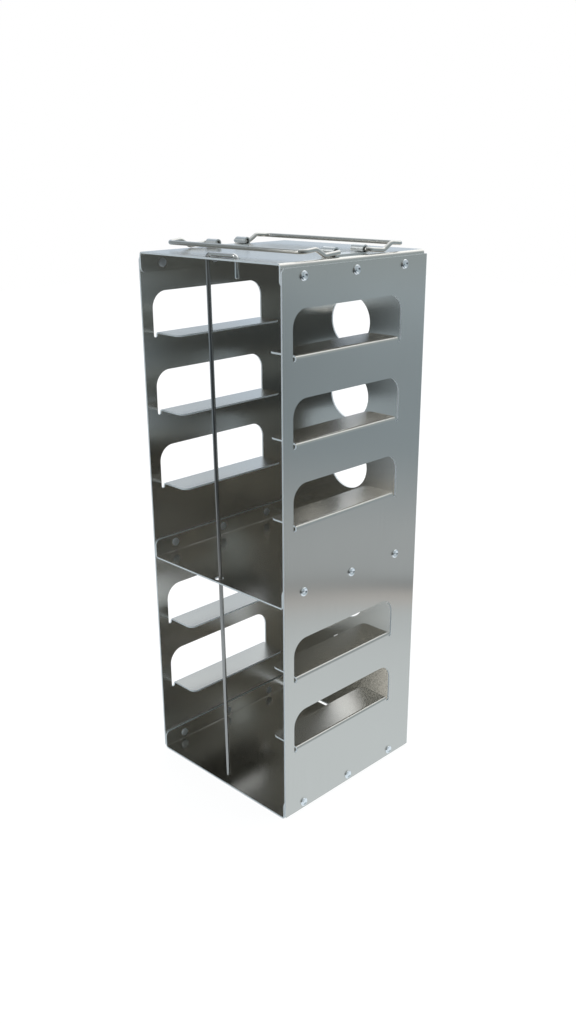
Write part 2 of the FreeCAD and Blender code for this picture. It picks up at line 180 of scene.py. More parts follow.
# %% Brushed grain group
GRAIN_INPUTS = [
    ("Vector", "NodeSocketVector", None),
    ("Lines per metre", "NodeSocketVector", (1000.0, 1000.0, 20.0)),
    ("Speckle per metre", "NodeSocketFloat", 1500.0),
    ("Smudge per metre", "NodeSocketFloat", 14.0),
]
GRAIN_OUTPUTS = [("Lines", "NodeSocketFloat"), ("Speckle", "NodeSocketFloat"),
                 ("Smudge", "NodeSocketFloat")]

grain, grain_in, grain_out = new_group("brushed_grain", GRAIN_INPUTS, GRAIN_OUTPUTS)
stretched = add_node(grain, "ShaderNodeVectorMath", {0: grain_in["Vector"],
                                                     1: grain_in["Lines per metre"]},
                     operation="MULTIPLY").outputs[0]
lines = add_node(grain, "ShaderNodeTexNoise", {"Vector": stretched, "Scale": 1.0,
                                               "Detail": 3.0, "Roughness": 0.6})
speckle = add_node(grain, "ShaderNodeTexNoise", {"Vector": grain_in["Vector"],
                                                 "Scale": grain_in["Speckle per metre"],
                                                 "Detail": 1.0})
smudge = add_node(grain, "ShaderNodeTexNoise", {"Vector": grain_in["Vector"],
                                                "Scale": grain_in["Smudge per metre"],
                                                "Detail": 4.0, "Roughness": 0.55})
for label, source in (("Lines", lines), ("Speckle", speckle), ("Smudge", smudge)):
    grain.links.new(source.outputs[0], grain_out[label])
print("group", grain.name, "with", len(grain.nodes), "nodes")

# %% [markdown]
# ## Cut edges
# Where the sheet was cut, its edge is rough, so it scatters light more than it mirrors it. Its
# near-white, faintly blue colour is a painted highlight for the light that the edges catch. A cut
# face is easy to tell by the way it faces: on a side wall it doesn't face sideways, on a tab it
# doesn't face up or down, and on the back wall it doesn't face back. The mask reads the surface's
# own normal and place.

# %% Cut edge group
CUT_INPUTS = [
    ("Vector", "NodeSocketVector", None),
    ("Facing", "NodeSocketVector", None),
    ("Inside of wall", "NodeSocketFloat", 0.07),
    ("Start of back wall", "NodeSocketFloat", 0.07),
]
FACING_LIMIT = 0.35
WALL_MARGIN = 0.03 * MM
TAB_MARGIN = 0.3 * MM
BEND_MARGIN = 2.5 * MM

cut, cut_in, cut_out = new_group("cut_edge", CUT_INPUTS, [("Mask", "NodeSocketFloat")])
place = add_node(cut, "ShaderNodeSeparateXYZ", {0: cut_in["Vector"]}).outputs
facing = add_node(cut, "ShaderNodeSeparateXYZ", {0: cut_in["Facing"]}).outputs
out_x = math_node(cut, "ABSOLUTE", place[0])
edge_on = [math_node(cut, "LESS_THAN", math_node(cut, "ABSOLUTE", facing[axis]), FACING_LIMIT)
           for axis in range(3)]
before_back = math_node(cut, "LESS_THAN", place[1], cut_in["Start of back wall"])
behind = math_node(cut, "SUBTRACT", 1.0, before_back)
in_wall = math_node(cut, "GREATER_THAN", out_x,
                    math_node(cut, "SUBTRACT", cut_in["Inside of wall"], WALL_MARGIN))
in_tab = math_node(cut, "LESS_THAN", out_x,
                   math_node(cut, "SUBTRACT", cut_in["Inside of wall"], TAB_MARGIN))
in_back = math_node(cut, "LESS_THAN", out_x,
                    math_node(cut, "SUBTRACT", cut_in["Inside of wall"], BEND_MARGIN))
wall_cut = math_node(cut, "MULTIPLY", math_node(cut, "MULTIPLY", in_wall, edge_on[0]), before_back)
tab_cut = math_node(cut, "MULTIPLY", math_node(cut, "MULTIPLY", in_tab, edge_on[2]), before_back)
back_cut = math_node(cut, "MULTIPLY", math_node(cut, "MULTIPLY", in_back, edge_on[1]), behind)
some_cut = math_node(cut, "MAXIMUM", math_node(cut, "MAXIMUM", wall_cut, tab_cut), back_cut)
cut.links.new(some_cut, cut_out["Mask"])
print("group", cut.name, "with", len(cut.nodes), "nodes")


# %% [markdown]
# ## Steel
# Every finish here is bare stainless steel, so all of them are metallic and differ in their
# grain, their roughness and a slight tint. Helpers make what they share: an empty metal, blends
# by a share, and the colour, roughness and bump that come from the grain.

# %% Steel helpers
SPECKLE_SHARE = 0.6
SMUDGE_SHARE = 0.5
GRAIN_HEIGHT = 0.02 * MM


def new_steel(name):
    """An empty metal material and its shader."""
    material = bpy.data.materials.new(name)
    material.use_nodes = True
    tree = material.node_tree
    shader = tree.nodes["Principled BSDF"]
    shader.inputs["Metallic"].default_value = 1.0
    return material, tree, shader


def blend_value(tree, share, low, high):
    """A value between low and high by a share that runs from 0 to 1."""
    node = add_node(tree, "ShaderNodeMapRange", {0: share, 1: 0.0, 2: 1.0, 3: low, 4: high})
    return node.outputs[0]


def blend_colour(tree, share, first, second):
    """A colour between two by a share that runs from 0 to 1."""
    node = add_node(tree, "ShaderNodeMix", {0: share, 6: first, 7: second}, data_type="RGBA")
    return node.outputs[2]


def grainy(tree, shader, marks, dark, light, rough, relief):
    """Colour, roughness and bump from the same grain. Returns them for later masks."""
    mixed = math_node(tree, "MULTIPLY_ADD", marks["Speckle"], SPECKLE_SHARE,
                      math_node(tree, "MULTIPLY", marks["Lines"], 1.0 - SPECKLE_SHARE))
    colour = blend_colour(tree, mixed, (*dark, 1.0), (*light, 1.0))
    uneven = math_node(tree, "MULTIPLY_ADD", marks["Smudge"], SMUDGE_SHARE,
                       math_node(tree, "MULTIPLY", mixed, 1.0 - SMUDGE_SHARE))
    roughness = blend_value(tree, uneven, rough[0], rough[1])
    bump = add_node(tree, "ShaderNodeBump", {"Strength": relief, "Distance": GRAIN_HEIGHT,
                                             "Height": mixed})
    tree.links.new(bump.outputs[0], shader.inputs["Normal"])
    return colour, roughness


print("steel helpers ready")

# %% Sheet finishes
SHEET_DARK = (0.53, 0.515, 0.48)
SHEET_LIGHT = (0.695, 0.675, 0.63)
SHEET_ROUGH = (0.16, 0.27)
SHEET_RELIEF = 0.05
# Painted highlight: the near-white, faintly blue colour of the cut edges stands for the light they
# catch.
EDGE_PAINTED_HIGHLIGHT = (0.93, 0.98, 1.0, 1.0)
EDGE_MIRROR = 0.2
EDGE_ROUGH = 0.8
UPRIGHT_GRAIN = (1400.0, 1400.0, 22.0)
FRONT_TO_BACK_GRAIN = (1400.0, 30.0, 1400.0)
UPRIGHT_STREAK = 0.9
NO_BACK_WALL = 2.0 * back_y


def make_sheet_finish(name, lines_per_metre, streak, inside, back_start):
    """Satin sheet with its grain along one axis, and rough cut edges with a painted highlight.

    Streak spreads reflections along the grain. Inside and back_start tell the cut mask how far
    out the walls begin and where the back wall begins.
    """
    material, tree, shader = new_steel(name)
    where = tree.nodes.new("ShaderNodeTexCoord").outputs
    marks = use_group(tree, grain, {"Vector": where["Object"], "Lines per metre": lines_per_metre})
    colour, roughness = grainy(tree, shader, marks, SHEET_DARK, SHEET_LIGHT, SHEET_ROUGH,
                               SHEET_RELIEF)
    edge = use_group(tree, cut, {"Vector": where["Object"], "Facing": where["Normal"],
                                 "Inside of wall": inside, "Start of back wall": back_start})
    mask = edge["Mask"]
    # On cut faces the colour turns to the painted highlight.
    tree.links.new(blend_colour(tree, mask, colour, EDGE_PAINTED_HIGHLIGHT), shader.inputs["Base Color"])
    tree.links.new(blend_value(tree, mask, roughness, EDGE_ROUGH), shader.inputs["Roughness"])
    tree.links.new(blend_value(tree, mask, 1.0, EDGE_MIRROR), shader.inputs["Metallic"])
    shader.inputs["Anisotropic"].default_value = streak
    return material


wall_steel = make_sheet_finish("satin_wall_steel", UPRIGHT_GRAIN, UPRIGHT_STREAK, WALL_INSIDE,
                               back_y - 2.0 * SHEET)
plate_steel = make_sheet_finish("satin_plate_steel", FRONT_TO_BACK_GRAIN, 0.0, FLANGE_INSIDE,
                                NO_BACK_WALL)
print("sheet finishes:", wall_steel.name, plate_steel.name)

# %% [markdown]
# ## Strap, rivet and wire finishes
# The hinge straps are rolled from thin strip, with its grain along the barrels. Rivets are
# formed cold: their heads stay smooth, and the die leaves their tails dull. The wire was drawn
# through a die, which leaves long streaks. The rod's colour is darker than the handles': painted
# shade for the dark surroundings it faces down the front. Its hook, on top in the light, has a
# lighter colour: painted light. The streaks follow the wire, so the wire's own coordinates,
# stored on its mesh, stand in for object coordinates there.

# %% Small finishes
FINE_SPECKLE = 4000.0
FINE_SMUDGE = 60.0
WIRE_PLACE = "wire_place"


def make_small_finish(name, source, lines_per_metre, dark, light, rough, relief):
    """A finish for a small piece: its grain, its darkest and lightest tone, how rough it is.

    Source names the attribute that the grain follows, or is None for the piece's own place.
    """
    material, tree, shader = new_steel(name)
    if source:
        where = add_node(tree, "ShaderNodeAttribute", attribute_name=source).outputs["Vector"]
    else:
        where = tree.nodes.new("ShaderNodeTexCoord").outputs["Object"]
    marks = use_group(tree, grain, {"Vector": where, "Lines per metre": lines_per_metre,
                                    "Speckle per metre": FINE_SPECKLE,
                                    "Smudge per metre": FINE_SMUDGE})
    colour, roughness = grainy(tree, shader, marks, dark, light, rough, relief)
    tree.links.new(colour, shader.inputs["Base Color"])
    tree.links.new(roughness, shader.inputs["Roughness"])
    return material


# Painted light: the lighter colour given to the rod's hook, which lies on top in the light.
HOOK_PAINTED_LIGHT = (0.66, 0.655, 0.635, 1.0)


def paint_hook_lit(material, start):
    """Painted light on the hook: past a length along the wire, the rod's painted shade turns
    lighter.
    """
    tree = material.node_tree
    shader = tree.nodes["Principled BSDF"]
    place = add_node(tree, "ShaderNodeAttribute", attribute_name=WIRE_PLACE).outputs["Vector"]
    along = add_node(tree, "ShaderNodeSeparateXYZ", {0: place}).outputs[0]
    on_hook = math_node(tree, "GREATER_THAN", along, start)
    drawn = shader.inputs["Base Color"].links[0].from_socket
    colour = blend_colour(tree, on_hook, drawn, HOOK_PAINTED_LIGHT)
    tree.links.new(colour, shader.inputs["Base Color"])


def dull_tails(material, reach, rough):
    """Rivet tails lie nearer the middle than reach. The die that formed them left them dull."""
    tree = material.node_tree
    shader = tree.nodes["Principled BSDF"]
    place = tree.nodes.new("ShaderNodeTexCoord").outputs["Object"]
    across = add_node(tree, "ShaderNodeSeparateXYZ", {0: place}).outputs[0]
    inside = math_node(tree, "LESS_THAN", math_node(tree, "ABSOLUTE", across), reach)
    smooth = shader.inputs["Roughness"].links[0].from_socket
    tree.links.new(blend_value(tree, inside, smooth, rough), shader.inputs["Roughness"])


print("small finish helpers ready")

# %% Strap, rivet and wire materials
BARREL_GRAIN = (60.0, 2500.0, 2500.0)
EVEN_GRAIN = (900.0, 900.0, 900.0)
DRAWN_GRAIN = (70.0, 2600.0, 2600.0)
TAIL_ROUGH = 0.6
rod_low, rod_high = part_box("locking_rod")

strap_steel = make_small_finish("strap_strip_steel", None, BARREL_GRAIN,
                                dark=(0.58, 0.59, 0.58), light=(0.74, 0.75, 0.74),
                                rough=(0.28, 0.42), relief=0.2)
rivet_steel = make_small_finish("rivet_bright_steel", None, EVEN_GRAIN,
                                dark=(0.78, 0.80, 0.81), light=(0.92, 0.94, 0.96),
                                rough=(0.08, 0.18), relief=0.15)
wire_steel = make_small_finish("drawn_wire_steel", WIRE_PLACE, DRAWN_GRAIN,
                               dark=(0.48, 0.47, 0.44), light=(0.66, 0.64, 0.60),
                               rough=(0.08, 0.18), relief=0.2)
# Painted shade: the rod's darker tones stand for the dark surroundings it faces down the front.
shaded_rod_steel = make_small_finish("drawn_rod_painted_shade", WIRE_PLACE, DRAWN_GRAIN,
                              dark=(0.30, 0.295, 0.285), light=(0.42, 0.41, 0.395),
                              rough=(0.12, 0.24), relief=0.2)
paint_hook_lit(shaded_rod_steel, rod_high.z - rod_low.z)
dull_tails(rivet_steel, WALL_INSIDE, TAIL_ROUGH)
nodes["rack_shell"].material_slots[0].material = wall_steel
for name in ("top_plate", "middle_plate", "bottom_plate"):
    nodes[name].material_slots[0].material = plate_steel
for name in ("hinge_strap_left", "hinge_strap_right"):
    nodes[name].material_slots[0].material = strap_steel
print("finishes:", ", ".join(finish.name for finish in (strap_steel, rivet_steel, wire_steel,
                                                       shaded_rod_steel)))


# %% [markdown]
# ## Making a Geometry Nodes result plain
# A node tree is a recipe. What is kept is its result: an ordinary mesh at the origin.

# %% Geometry helper
def new_geometry_tree(name, inputs):
    """An empty geometry tree with a geometry input and the named inputs."""
    tree = bpy.data.node_groups.new(name, "GeometryNodeTree")
    tree.interface.new_socket("Geometry", in_out="INPUT", socket_type="NodeSocketGeometry")
    for label, kind, default in inputs:
        socket = tree.interface.new_socket(label, in_out="INPUT", socket_type=kind)
        if default is not None:
            socket.default_value = default
    tree.interface.new_socket("Geometry", in_out="OUTPUT", socket_type="NodeSocketGeometry")
    entry = tree.nodes.new("NodeGroupInput")
    leave = tree.nodes.new("NodeGroupOutput")
    return tree, entry.outputs, leave.inputs


def grow(seed, tree, values, name):
    """The tree's result on the seed object, with its inputs set, as a plain mesh object."""
    modifier = seed.modifiers.new(tree.name, "NODES")
    modifier.node_group = tree
    for item in tree.interface.items_tree:
        if item.in_out == "INPUT" and item.name in values:
            modifier[item.identifier] = values[item.name]
    bpy.context.view_layer.update()
    ready = seed.evaluated_get(bpy.context.evaluated_depsgraph_get())
    mesh = bpy.data.meshes.new_from_object(ready)
    mesh.name = name
    seed.modifiers.remove(modifier)
    bpy.data.objects.remove(seed)
    result = bpy.data.objects.new(name, mesh)
    bpy.context.scene.collection.objects.link(result)
    return result


def new_seed(name, points, edges=(), attributes=None):
    """A mesh of loose points or edges for a tree to grow on, with values stored on its points."""
    mesh = bpy.data.meshes.new(name)
    mesh.from_pydata(points, edges, [])
    for label, values in (attributes or {}).items():
        layer = mesh.attributes.new(label, "FLOAT", "POINT")
        layer.data.foreach_set("value", values)
    seed = bpy.data.objects.new(name, mesh)
    bpy.context.scene.collection.objects.link(seed)
    return seed


print("geometry helpers ready")

# %% [markdown]
# ## One rivet
# Each rivet has a low domed head outside the wall, with a round recess where its pin broke
# off, and a formed collar inside the flange. It is turned: one half outline goes all the way
# round an axis. The outline is a list of distances from the wall and radii.

# %% Turned rivet
RIVET_HEAD_RADIUS = 3.3 * MM
RIVET_HEAD_HEIGHT = 1.2 * MM
RIVET_RIM = 0.25 * MM
RIVET_RECESS_RADIUS = 2.2 * MM
RIVET_RECESS_DEPTH = 0.75 * MM
RIVET_DISH_WIDTH = 1.0 * MM
RIVET_LIP = 0.10 * MM
RIVET_PIN_RADIUS = 1.05 * MM
RIVET_PIN_TOP = 0.7
RIVET_PIN_FOOT = 0.04 * MM
RIVET_PIN_HEIGHTS = (0.32 * MM, 0.30 * MM, 0.18 * MM)
RIVET_HEAD_UNDERCUT = 0.05 * MM
RIVET_SHANK_RADIUS = 1.6 * MM
RIVET_COLLAR_RADIUS = 3.2 * MM
RIVET_COLLAR_HEIGHT = 1.0 * MM
RIVET_COLLAR_UNDERCUT = 0.1 * MM
RIVET_COLLAR_RIM = 0.3
RIVET_COLLAR_FACE = 0.45
GRIP = 2.0 * SHEET + 0.05 * MM
RIVET_SIDES = 40
DOME_STEPS = 7
SHARP_ANGLE = math.radians(40)


def rivet_outline():
    """Half outline of a rivet: (distance out from the wall, radius), from the pin inwards."""
    floor = RIVET_HEAD_HEIGHT - RIVET_RECESS_DEPTH
    middle, shoulder, edge = (floor + height for height in RIVET_PIN_HEIGHTS)
    points = [(middle, 0.0), (shoulder, RIVET_PIN_TOP * RIVET_PIN_RADIUS),
              (edge, RIVET_PIN_RADIUS), (floor, RIVET_PIN_RADIUS + RIVET_PIN_FOOT),
              (floor, RIVET_RECESS_RADIUS - RIVET_DISH_WIDTH),
              (RIVET_HEAD_HEIGHT - RIVET_LIP, RIVET_RECESS_RADIUS),
              (RIVET_HEAD_HEIGHT, RIVET_RECESS_RADIUS + RIVET_LIP)]
    for step in range(1, DOME_STEPS + 1):
        angle = step / DOME_STEPS * math.pi / 2
        radius = RIVET_RECESS_RADIUS + RIVET_LIP
        radius += (RIVET_HEAD_RADIUS - radius) * math.sin(angle)
        points.append((RIVET_RIM + (RIVET_HEAD_HEIGHT - RIVET_RIM) * math.cos(angle), radius))
    points.append((0.0, RIVET_HEAD_RADIUS - RIVET_HEAD_UNDERCUT))
    points.append((0.0, RIVET_SHANK_RADIUS))
    points.append((-GRIP, RIVET_SHANK_RADIUS))
    points.append((-GRIP, RIVET_COLLAR_RADIUS - RIVET_COLLAR_UNDERCUT))
    for step in range(DOME_STEPS + 1):
        angle = step / DOME_STEPS * math.pi / 2
        rise = RIVET_COLLAR_RIM + (1.0 - RIVET_COLLAR_RIM) * math.sin(angle)
        reach = RIVET_COLLAR_FACE + (1.0 - RIVET_COLLAR_FACE) * math.cos(angle)
        points.append((-GRIP - RIVET_COLLAR_HEIGHT * rise, RIVET_COLLAR_RADIUS * reach))
    points.append((-GRIP - RIVET_COLLAR_HEIGHT, 0.0))
    return points


def turned(name, points, sides):
    """The half outline turned about the X axis into a closed mesh."""
    form = bmesh.new()
    rings = []
    for out, radius in points:
        if radius == 0.0:
            rings.append([form.verts.new((out, 0.0, 0.0))])
            continue
        rings.append([form.verts.new((out, radius * math.cos(2 * math.pi * side / sides),
                                      radius * math.sin(2 * math.pi * side / sides)))
                      for side in range(sides)])
    for ring, following in zip(rings, rings[1:]):
        for side in range(sides):
            after = (side + 1) % sides
            if len(ring) == 1:
                form.faces.new((ring[0], following[side], following[after]))
            elif len(following) == 1:
                form.faces.new((ring[side], following[0], ring[after]))
            else:
                form.faces.new((ring[side], following[side], following[after], ring[after]))
    bmesh.ops.recalc_face_normals(form, faces=form.faces)
    mesh = bpy.data.meshes.new(name)
    form.to_mesh(mesh)
    form.free()
    mesh.set_sharp_from_angle(angle=SHARP_ANGLE)
    piece = bpy.data.objects.new(name, mesh)
    bpy.context.scene.collection.objects.link(piece)
    return piece


one_rivet = turned("one_rivet", rivet_outline(), RIVET_SIDES)
print("one rivet has", len(one_rivet.data.polygons), "faces")

# %% [markdown]
# ## Rows of rivets
# Three rivets join each flange to its wall, so there are six rows. The tree takes one point
# for each row, draws the row's line from it, and sets a rivet on every point of the line. The
# rivets of the left wall are turned half way round, so that their heads face out there too.

# %% Rivet rows
RIVETS_IN_ROW = 3
rows_tree, rows_in, rows_out = new_geometry_tree("rivet_rows", [
    ("Rivet", "NodeSocketObject", None),
    ("Rivets in a row", "NodeSocketInt", RIVETS_IN_ROW),
    ("Spacing", "NodeSocketFloat", None),
    ("Material", "NodeSocketMaterial", None),
])
step = add_node(rows_tree, "ShaderNodeCombineXYZ", {1: rows_in["Spacing"]}).outputs[0]
line = add_node(rows_tree, "GeometryNodeMeshLine", {"Count": rows_in["Rivets in a row"],
                                                    "Offset": step}, mode="OFFSET")
spots = add_node(rows_tree, "GeometryNodeInstanceOnPoints", {"Points": rows_in["Geometry"],
                                                             "Instance": line.outputs[0]})
spots = add_node(rows_tree, "GeometryNodeRealizeInstances", {0: spots.outputs[0]})
turn = add_node(rows_tree, "GeometryNodeInputNamedAttribute", {"Name": "turn"}, data_type="FLOAT")
spin = add_node(rows_tree, "ShaderNodeCombineXYZ", {2: turn.outputs[0]})
shape = add_node(rows_tree, "GeometryNodeObjectInfo", {"Object": rows_in["Rivet"]})
fixed = add_node(rows_tree, "GeometryNodeInstanceOnPoints", {
    "Points": spots.outputs[0], "Instance": shape.outputs["Geometry"],
    "Rotation": spin.outputs[0]})
whole = add_node(rows_tree, "GeometryNodeRealizeInstances", {0: fixed.outputs[0]})
finished = add_node(rows_tree, "GeometryNodeSetMaterial", {"Geometry": whole.outputs[0],
                                                           "Material": rows_in["Material"]})
rows_tree.links.new(finished.outputs[0], rows_out[0])

row_names = [f"{row}_rivets_{side}" for row in ("top", "middle", "bottom")
             for side in ("left", "right")]
row_starts = []
row_turns = []
for name in row_names:
    low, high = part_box(name)
    row_side = 1.0 if low.x > 0.0 else -1.0
    row_starts.append((row_side * half_width, low.y + RIVET_HEAD_RADIUS, (low.z + high.z) / 2))
    row_turns.append(0.0 if row_side > 0.0 else math.pi)
row_low, row_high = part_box(row_names[0])
rivet_spacing = (row_high.y - row_low.y - 2 * RIVET_HEAD_RADIUS) / (RIVETS_IN_ROW - 1)
rivets = grow(new_seed("rivet_row_starts", row_starts, attributes={"turn": row_turns}), rows_tree,
              {"Rivet": one_rivet, "Rivets in a row": RIVETS_IN_ROW, "Spacing": rivet_spacing,
               "Material": rivet_steel}, "wall_rivets")
bpy.data.objects.remove(one_rivet)
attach(rivets, "rack")
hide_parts(*row_names)
print("rivets:", len(rivets.data.polygons), "faces, spacing", round(rivet_spacing, 4))

# %% [markdown]
# ## Bent wire
# Both handles and the locking rod are round wire, bent cold around pins. The path is a few
# straight runs, and Fillet Curve rounds each corner to its own bend radius. Curve to Mesh
# then carries a circle along it. Near each end the circle shrinks, which leaves a soft tip.
# The straightened place of each point is stored, so that drawn streaks can follow the wire.

# %% Wire tree
WIRE_RADIUS = 1.5 * MM
WIRE_SIDES = 24
BEND_STEPS = 12
wire_tree, wire_in, wire_out = new_geometry_tree("bent_wire", [
    ("Radius", "NodeSocketFloat", WIRE_RADIUS),
    ("Sides", "NodeSocketInt", WIRE_SIDES),
    ("Steps in a bend", "NodeSocketInt", BEND_STEPS),
    ("Material", "NodeSocketMaterial", None),
])
path = add_node(wire_tree, "GeometryNodeMeshToCurve", {0: wire_in["Geometry"]})
bend = add_node(wire_tree, "GeometryNodeInputNamedAttribute", {"Name": "bend"}, data_type="FLOAT")
path = add_node(wire_tree, "GeometryNodeFilletCurve", {
    "Curve": path.outputs[0], "Radius": bend.outputs[0], "Count": wire_in["Steps in a bend"]},
    mode="POLY")
girth = add_node(wire_tree, "GeometryNodeInputNamedAttribute", {"Name": "girth"},
                 data_type="FLOAT")
length = add_node(wire_tree, "GeometryNodeSplineParameter")
path = add_node(wire_tree, "GeometryNodeStoreNamedAttribute", {
    "Geometry": path.outputs[0], "Name": "along", "Value": length.outputs["Length"]},
    data_type="FLOAT", domain="POINT")
section = add_node(wire_tree, "GeometryNodeCurvePrimitiveCircle", {
    "Resolution": wire_in["Sides"], "Radius": wire_in["Radius"]}, mode="RADIUS")
around = add_node(wire_tree, "GeometryNodeInputPosition")
section = add_node(wire_tree, "GeometryNodeStoreNamedAttribute", {
    "Geometry": section.outputs[0], "Name": "round", "Value": around.outputs[0]},
    data_type="FLOAT_VECTOR", domain="POINT")
tube = add_node(wire_tree, "GeometryNodeCurveToMesh", {
    "Curve": path.outputs[0], "Profile Curve": section.outputs[0], "Scale": girth.outputs[0],
    "Fill Caps": True})
along = add_node(wire_tree, "GeometryNodeInputNamedAttribute", {"Name": "along"},
                 data_type="FLOAT")
ring = add_node(wire_tree, "GeometryNodeInputNamedAttribute", {"Name": "round"},
                data_type="FLOAT_VECTOR")
ring_parts = add_node(wire_tree, "ShaderNodeSeparateXYZ", {0: ring.outputs[0]})
straight = add_node(wire_tree, "ShaderNodeCombineXYZ", {
    0: along.outputs[0], 1: ring_parts.outputs[0], 2: ring_parts.outputs[1]})
tube = add_node(wire_tree, "GeometryNodeStoreNamedAttribute", {
    "Geometry": tube.outputs[0], "Name": WIRE_PLACE, "Value": straight.outputs[0]},
    data_type="FLOAT_VECTOR", domain="POINT")
tube = add_node(wire_tree, "GeometryNodeSetShadeSmooth", {"Geometry": tube.outputs[0]})
tube = add_node(wire_tree, "GeometryNodeRealizeInstances", {0: tube.outputs[0]})
tube = add_node(wire_tree, "GeometryNodeSetMaterial", {"Geometry": tube.outputs[0],
                                                       "Material": wire_in["Material"]})
wire_tree.links.new(tube.outputs[0], wire_out[0])
print("tree", wire_tree.name, "with", len(wire_tree.nodes), "nodes")


# %% Wire helper
TIP_STEPS = 5
TIP_LENGTH = 0.7 * MM


def soft_tip(end, towards):
    """Points and girths from a wire's end inwards, along a quarter circle."""
    run = (towards - end).normalized()
    points = []
    girths = []
    for step in range(TIP_STEPS + 1):
        angle = step / TIP_STEPS * math.pi / 2
        points.append(end + run * TIP_LENGTH * (1.0 - math.cos(angle)))
        girths.append((WIRE_RADIUS - TIP_LENGTH * (1.0 - math.sin(angle))) / WIRE_RADIUS)
    return points, girths


def make_wire(name, corners, bends, finish):
    """A bent wire along straight runs between its corners, each corner with its bend radius."""
    first, first_girths = soft_tip(corners[0], corners[1])
    last, last_girths = soft_tip(corners[-1], corners[-2])
    points = first + list(corners[1:-1]) + last[::-1]
    girths = first_girths + [1.0] * len(bends) + last_girths[::-1]
    radii = [0.0] * len(first) + list(bends) + [0.0] * len(last)
    links = [(step, step + 1) for step in range(len(points) - 1)]
    seed = new_seed(f"{name}_path", points, links, {"bend": radii, "girth": girths})
    wire = grow(seed, wire_tree, {"Radius": WIRE_RADIUS, "Sides": WIRE_SIDES,
                                  "Steps in a bend": BEND_STEPS, "Material": finish},
                f"{name}_wire")
    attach(wire, name)
    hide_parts(name)
    print(wire.name, "has", len(wire.data.polygons), "faces")
    for label, pick in (("low", min), ("high", max)):
        print(label, "corner", [round(pick(v.co[axis] for v in wire.data.vertices), 4)
                                for axis in range(3)])


# %% [markdown]
# ## Lifting handles
# Each handle is one wire. Its two ends turn inwards and sit in the rolled barrels of the hinge
# straps. The arms step up over the barrels, and the bar joins them. At rest the handle lies
# on the top plate, so it droops by the angle that brings its low arms down to the plate.

# %% Handles
strap_low, strap_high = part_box("hinge_strap_right")
BARREL_OUTSIDE = 2.9 * MM
STUB_INSET = 1.0 * MM
ARM_INSET = 4.7 * MM
LOW_ARM = 14.6 * MM
STEP_RUN = 7.6 * MM
STEP_RISE = 5.0 * MM
HIGH_ARM = 11.7 * MM
EYE_BEND = 2.5 * MM
STEP_BEND = 4.5 * MM
BAR_BEND = 4.0 * MM
REST_GAP = 0.15 * MM
pivot_y = strap_high.y - BARREL_OUTSIDE
pivot_z = plate_top + BARREL_OUTSIDE
droop = math.asin((pivot_z - plate_top - WIRE_RADIUS - REST_GAP) / LOW_ARM)


def handle_corners(way):
    """The corners of the handle's path; way is -1 for the front handle and 1 for the rear."""
    arm = half_width - ARM_INSET
    stub = strap_low.x + STUB_INSET
    high = LOW_ARM + STEP_RUN
    right = [(stub, 0.0, 0.0), (arm, 0.0, 0.0), (arm, -LOW_ARM, 0.0), (arm, -high, STEP_RISE),
             (arm, -high - HIGH_ARM, STEP_RISE)]
    left = [(-x, y, z) for x, y, z in reversed(right)]
    lie = Matrix.Rotation(droop, 4, "X")
    face = Matrix.Rotation(0.0 if way < 0 else math.pi, 4, "Z")
    seat = Matrix.Translation((0.0, way * pivot_y, pivot_z))
    return [seat @ face @ lie @ Vector(corner) for corner in right + left]


handle_bends = [EYE_BEND, STEP_BEND, STEP_BEND, BAR_BEND]
handle_bends += handle_bends[::-1]
for name, way in (("front_handle", -1), ("rear_handle", 1)):
    make_wire(name, handle_corners(way), handle_bends, wire_steel)

# %% [markdown]
# ## Locking rod
# The rod drops through a hole in the top plate and one in the middle plate, and keeps the
# boxes in. Its top is bent over into a hook, whose short leg sits in a second hole.

# %% Rod
ROD_CENTRE = -1.75 * MM
CATCH_SPACING = 26.5 * MM
CATCH_DROP = 12.2 * MM
ROD_BEND = 3.0 * MM
ROD_LEAN = 1.6 * MM
middle_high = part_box("middle_plate")[0].z + SHEET
rod_y = (rod_low.y + rod_high.y) / 2
lying = rod_high.z - WIRE_RADIUS


def rod_x(height):
    """Where the leaning rod is at a height: it touches one side of each plate's hole."""
    share = (plate_top - height) / (plate_top - middle_high)
    return ROD_CENTRE - ROD_LEAN + 2 * ROD_LEAN * share


rod_corners = [Vector((rod_x(rod_low.z), rod_y, rod_low.z)), Vector((rod_x(lying), rod_y, lying)),
               Vector((ROD_CENTRE + CATCH_SPACING, rod_y, lying)),
               Vector((ROD_CENTRE + CATCH_SPACING, rod_y, plate_top - CATCH_DROP))]
make_wire("locking_rod", rod_corners, [ROD_BEND, ROD_BEND], shaded_rod_steel)
print("locking_rod solid box", [[round(v, 4) for v in corner] for corner in (rod_low, rod_high)])

# %% [markdown]
# ## Floor, backdrop and light
# Polished metal shows what stands around it. In the photograph the surroundings are bright
# behind and to the left, grey to the right, and dark on the camera's side, and the floor is
# brightest close to the rack. The camera itself sees plain white. Light Path keeps the two
# apart: one colour for the camera, another for what the metal mirrors.

# %% Floor bands
FLOOR_REACH = 3.0
COOL_LIGHT = (0.92, 1.01, 1.075)
FAR_LIGHT = (0.86, 1.035, 1.16)
WARM_LIGHT = (1.02, 1.0, 0.99)
# Each band of the floor: distance from the rack in metres, brightness, tint. It is bright near
# the rack, has a narrow dark edge, and fades to a bluish grey far away.
FLOOR_BANDS = [
    (0.12, 0.885, COOL_LIGHT), (0.27, 0.83, COOL_LIGHT), (0.36, 0.73, COOL_LIGHT),
    (0.39, 0.67, WARM_LIGHT), (0.414, 0.62, WARM_LIGHT), (0.42, 0.30, COOL_LIGHT),
    (0.436, 0.31, COOL_LIGHT), (0.455, 0.56, COOL_LIGHT), (0.60, 0.57, COOL_LIGHT),
    (1.00, 0.43, FAR_LIGHT), (1.70, 0.44, FAR_LIGHT), (3.00, 0.56, FAR_LIGHT),
]


